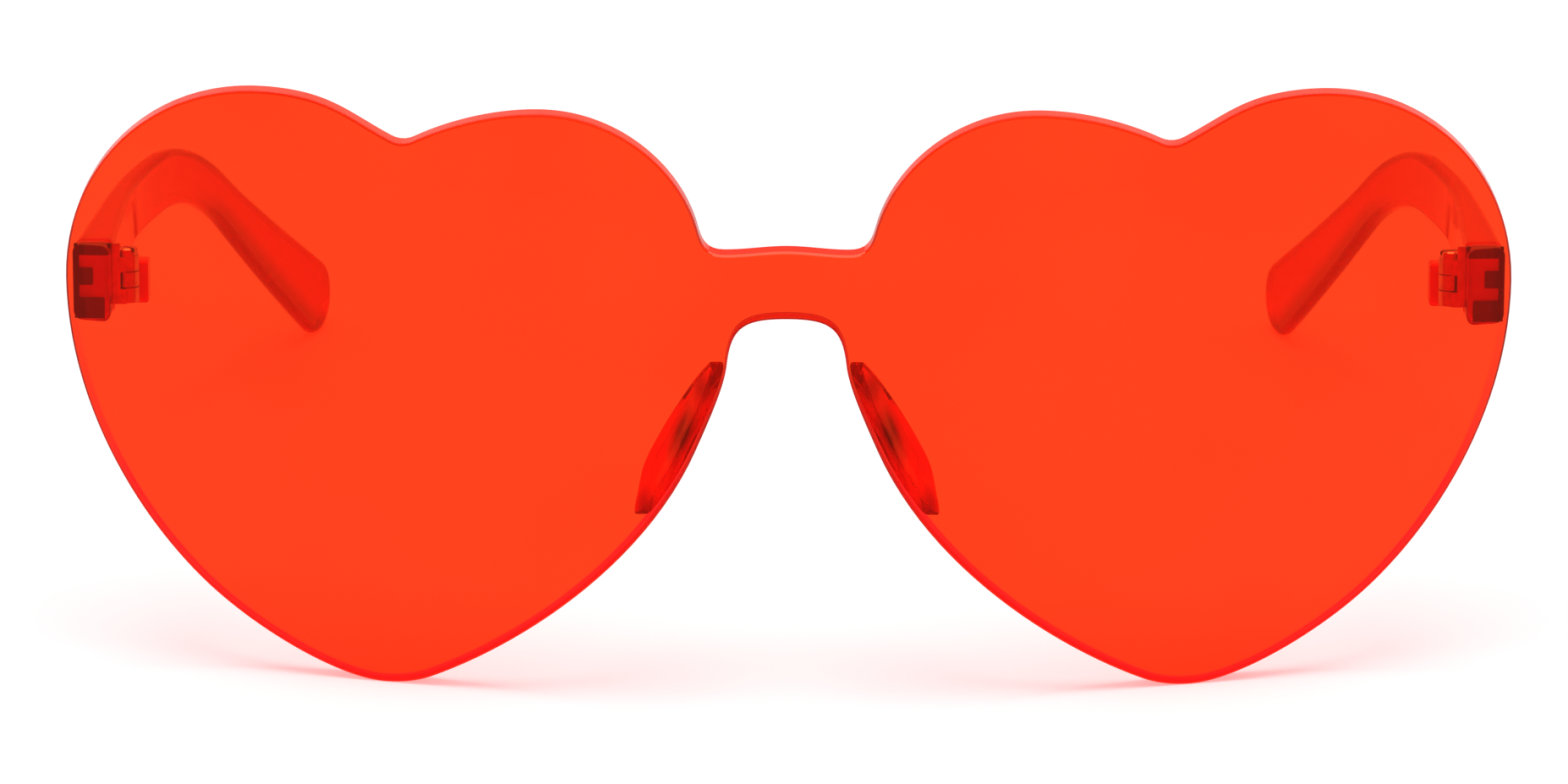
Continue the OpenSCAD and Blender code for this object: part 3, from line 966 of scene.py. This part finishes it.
class SUNGLASSES_OT_temples(bpy.types.Operator):
    """Builds the two temples with their hinge bosses"""

    bl_idname = "sunglasses.temples"
    bl_label = "Build Temples"

    def execute(self, context):
        settings = context.scene.sunglasses_temple
        s = np.linspace(0, ARM_END, 160)
        marks = (0, THIN_L, ARM_L, BEND_END, ARM_END)
        tall = np.interp(s, marks, (BLOCK_H, ARM_H, ARM_H, WAIST_H, TIP_H))
        # The height changes softly, over 8 points each way
        tall = np.convolve(np.pad(tall, 8, "edge"), np.hanning(19)[1:-1] / 9, "valid")
        tall[0], tall[-1] = BLOCK_H, TIP_H
        turn = np.linspace(math.pi / 2, -math.pi / 2, 60)[1:-1]
        end = np.stack([ARM_END + TIP_R * np.cos(turn), TIP_R * np.sin(turn)], 1)
        side = np.stack([s, tall / 2], 1)
        outline = even_loop(np.vstack([side, end, side[::-1] * (1, -1)]), spacing=0.4 * MM)
        outline = eased(outline, turns=8)[::-1]

        def inner(y, z):
            thick = np.interp(y, (ARM_L, ARM_END), (ARM_T, TIP_T))
            taper = soft_floor((THIN_L - y) / THIN_L, width=0.25)
            return OUTER_X - thick - taper * (BLOCK_W - ARM_T)

        boss = rounded_box(
            (LEAF_X, -BOSS_DROP - BOSS_H / 2), (LEAF_X + BOSS_L, -BOSS_DROP + BOSS_H / 2),
            BOSS_CORNER,
        )
        tint, rim = np.array(settings.tint), np.array(settings.rim)
        top = rim * (0.78, 0.65, 1.1)
        # The temples' inner face carries a painted band of shade along the tail's lower edge
        clear = clear_plastic(
            "temple_acrylic", tint, tint * (0.96, 0.8, 0.8), polish=0.05, clear=0.8,
            bend=1.18, gloss=0.6, paint=painted_band_shade((0.38, 0.14, 0.8)),
        )
        # The narrow sides carry painted light and shade by the way they look
        edge = clear_plastic(
            "temple_edge", WHITE, (0.95, 0.8, 0.8), polish=0.08, clear=0.4, bend=1.18,
            gloss=0.6,
            paint=painted_edge_light(
                (top, top, 0, 1), aside=(1, 0.04, 0.03), below=rim * (0.64, 0.45, 1.4)
            ),
        )
        # Past the bend the upper edge gets painted light and the lower one painted shade, which
        # is also painted on the inner face as a band
        along, up = outline[:, 0], outward(outline)[:, 1]
        past_boss = np.clip(along / (10 * MM) - 1, 0, 1)
        tail = np.clip(2 * (along - ARM_L) / BEND_L - 1, 0, 1)
        ups = up * np.where(up > 0, 1 - 0.85 * tail, 0.2 + 0.8 * tail)
        under = np.clip(-2 * up, 0, 1) * tail
        # Insets in mm of the painted band of shade: narrow beside the boss, wider past it and
        # widest under the tail
        ends, full = 0.1 + past_boss * (0.5 + 1.7 * under), 0.05 + 0.3 * past_boss
        bands = ((settings.edge + ends * MM, 0.0), (settings.edge + full * MM, under))
        tree = bending_tree(clear, edge)
        for side, sign in SIDES.items():
            blank = slab(
                "temple_blank_" + side, outline, inner, flat(OUTER_X), settings.edge,
                spacing=1.4 * MM, place=handed(side) @ BACK_UP_ACROSS,
                studs=[(boss, LEAF_X - BOSS_W, BOSS_EDGE)], bands=bands, ups=ups,
            )
            temple = tree.made("temple_arm_" + side, blank, {
                "Lean": sign * TIP_LEAN, "Pivot": PIVOT * Vector((sign, 1, 1)),
            })
            finish_piece(temple, "temple", "temple_" + side, "temple_" + side)
        return {"FINISHED"}


def screw_tree(settings, material):
    """The tree that makes a slotted screw at each point: head, chamfer and shank."""
    tree = Tree("slotted_screws", {
        "Shank Radius": SCREW_R, "Shank Length": BARREL_H, "Head Radius": HEAD_R,
        "Head Height": HEAD_H, "Chamfer": settings.chamfer, "Slot Width": SLOT_W,
        "Slope": SLOPE,
    })
    given, maths = tree.given, tree.maths
    shank_r, shank_l = given["Shank Radius"], given["Shank Length"]
    head_r, head_h, chamfer = given["Head Radius"], given["Head Height"], given["Chamfer"]

    def moved(geometry, z):
        return tree.add(
            "GeometryNodeTransform", Geometry=geometry, Translation=tree.vector(z=z)
        ).outputs[0]

    def drum(bottom, top, height, z):
        cone = tree.add(
            "GeometryNodeMeshCone", Vertices=40, Radius_Bottom=bottom, Radius_Top=top,
            Depth=height,
        )
        return moved(cone.outputs["Mesh"], z)

    half = maths("MULTIPLY", shank_l, 0.5)
    rim = maths("SUBTRACT", head_h, chamfer)
    joined = tree.add("GeometryNodeMeshBoolean")
    joined.operation, joined.solver = "UNION", "EXACT"
    for part in (
        drum(head_r, maths("SUBTRACT", head_r, chamfer), chamfer, maths("ADD", half, rim)),
        drum(head_r, head_r, rim, half),
        drum(shank_r, shank_r, shank_l, maths("MULTIPLY", half, -1)),
    ):
        tree.feed(joined.inputs["Mesh 2"], part)
    slot_size = tree.vector(maths("MULTIPLY", head_r, 3), given["Slot Width"], head_h)
    slot = tree.add("GeometryNodeMeshCube", Size=slot_size).outputs["Mesh"]
    cut = tree.add("GeometryNodeMeshBoolean")
    cut.operation, cut.solver = "DIFFERENCE", "EXACT"
    tree.feed(cut.inputs["Mesh 1"], joined.outputs["Mesh"])
    tree.feed(cut.inputs["Mesh 2"], moved(slot, maths("ADD", half, head_h)))
    spin = tree.add("FunctionNodeRandomValue", Max=math.pi, Seed=4).outputs["Value"]
    placed = tree.add(
        "GeometryNodeInstanceOnPoints", Points=given["Geometry"], Instance=cut.outputs["Mesh"],
        Rotation=tree.vector(maths("MULTIPLY", given["Slope"], -1)),
    )
    turned = tree.add(
        "GeometryNodeRotateInstances", Instances=placed.outputs[0], Rotation=tree.vector(z=spin)
    )
    tree.finish(turned.outputs[0], [(material, True)])
    return tree


class SUNGLASSES_OT_hinges(bpy.types.Operator):
    """Builds the slotted screws and finishes the hinge leaves"""

    bl_idname = "sunglasses.hinges"
    bl_label = "Build Hinges"

    def execute(self, context):
        settings = context.scene.sunglasses_hinge
        colour = np.array(settings.metal)
        # The leaves get painted shade where they are set in the end blocks
        leaf = metal(
            "stamped_metal", colour, colour * 0.8, polish=0.25, stretch=(1, 1, 0.1),
            set_in_shade=(0.1, 0.095, 0.09),
        )
        bright = metal(
            "polished_metal", (0.75, 0.73, 0.7), (0.6, 0.58, 0.55), polish=0.15,
            stretch=(1, 0.1, 1),
        )
        for name, node in frame["nodes"].items():
            if "hinge_leaf" in name:
                node.data.materials.clear()
                node.data.materials.append(leaf)
        points = bpy.data.meshes.new("screw_points")
        points.from_pydata([PIVOT * Vector((s, 1, 1)) for s in SIDES.values()], [], [])
        screws = screw_tree(settings, bright).made(
            "screws", piece("screw_points", points), {"Chamfer": settings.chamfer}
        )
        finish_piece(screws, "screw_metal", "front", "hinge_screw_left", "hinge_screw_right")
        return {"FINISHED"}


class SUNGLASSES_OT_stage(bpy.types.Operator):
    """Sets the table, the light and the camera"""

    bl_idname = "sunglasses.stage"
    bl_label = "Set Stage"

    def execute(self, context):
        settings = context.scene.sunglasses_stage
        scene = context.scene
        reach = 3.0
        mesh = bpy.data.meshes.new("table")
        corners = [(-reach, -reach, 0), (reach, -reach, 0), (reach, reach, 0), (-reach, reach, 0)]
        mesh.from_pydata(corners, [], [(0, 1, 2, 3)])
        table = piece("table", mesh)
        nodes = Finish("white_table")
        paint = nodes.add("ShaderNodeBsdfDiffuse", Color=settings.floor)
        glow = nodes.add("ShaderNodeEmission", Strength=nodes.where_seen(light=0, seen=0.12))
        both = nodes.add("ShaderNodeAddShader")
        nodes.feed(both.inputs[0], paint.outputs["BSDF"])
        nodes.feed(both.inputs[1], glow.outputs["Emission"])
        table.data.materials.append(nodes.end(both.outputs["Shader"]))

        world = bpy.data.worlds.new("studio")
        scene.world = world
        world.use_nodes = True
        world.node_tree.nodes.clear()
        nodes = Nodes(world.node_tree)
        strength = nodes.where_seen(light=0.32, seen=1)
        sky = nodes.add("ShaderNodeBackground", Color=WHITE, Strength=strength)
        nodes.add("ShaderNodeOutputWorld", Surface=sky.outputs["Background"])

        lamp = bpy.data.lights.new("soft_lamp", "SUN")
        lamp.energy = settings.lamp
        lamp.angle = math.radians(40)
        overhead = bpy.data.objects.new("soft_lamp", lamp)
        overhead.location = (0, -0.3, 1.0)
        overhead.rotation_euler = (math.radians(9), 0, 0)
        scene.collection.objects.link(overhead)

        camera = bpy.data.cameras.new("camera")
        camera.sensor_width = 36
        camera.lens = CAMERA_LENS
        camera.clip_end = 20
        viewer = bpy.data.objects.new("camera", camera)
        scene.collection.objects.link(viewer)
        level = math.cos(CAMERA_UP)
        look = Vector((
            -math.sin(CAMERA_ASIDE) * level, math.cos(CAMERA_ASIDE) * level,
            -math.sin(CAMERA_UP),
        ))
        viewer.location = CAMERA_TARGET - look * CAMERA_AWAY
        viewer.rotation_mode = "QUATERNION"
        viewer.rotation_quaternion = look.to_track_quat("-Z", "Y")
        scene.camera = viewer
        scene.view_settings.view_transform = "Standard"
        return {"FINISHED"}


class SUNGLASSES_PT_panel(bpy.types.Panel):
    """Lists what builds the sunglasses"""

    bl_idname = "SUNGLASSES_PT_panel"
    bl_label = "Sunglasses"
    bl_space_type = "VIEW_3D"
    bl_region_type = "UI"
    bl_category = "Sunglasses"

    def draw(self, context):
        for group, names in (
            ("sunglasses_front", ("edge", "pad_edge", "tint", "rim")),
            ("sunglasses_temple", ("edge", "tint", "rim")),
            ("sunglasses_hinge", ("metal", "chamfer")),
            ("sunglasses_stage", ("floor", "lamp")),
        ):
            for name in names:
                self.layout.prop(getattr(context.scene, group), name)
        for operator in OPERATORS:
            self.layout.operator(operator.bl_idname)


OPERATORS = (
    SUNGLASSES_OT_shield,
    SUNGLASSES_OT_nose_pads,
    SUNGLASSES_OT_end_blocks,
    SUNGLASSES_OT_temples,
    SUNGLASSES_OT_hinges,
    SUNGLASSES_OT_stage,
)
SETTINGS = {
    "sunglasses_front": FrontSettings,
    "sunglasses_temple": TempleSettings,
    "sunglasses_hinge": HingeSettings,
    "sunglasses_stage": StageSettings,
}


def register():
    for item in (*SETTINGS.values(), *OPERATORS, SUNGLASSES_PT_panel):
        bpy.utils.register_class(item)
    for name, group in SETTINGS.items():
        setattr(bpy.types.Scene, name, bpy.props.PointerProperty(type=group))


def unregister():
    for name in SETTINGS:
        delattr(bpy.types.Scene, name)
    for item in (SUNGLASSES_PT_panel, *OPERATORS[::-1], *SETTINGS.values()):
        bpy.utils.unregister_class(item)


def main():
    register()
    for operator in OPERATORS:
        family, name = operator.bl_idname.split(".")
        getattr(getattr(bpy.ops, family), name)()


if __name__ == "__main__":
    main()
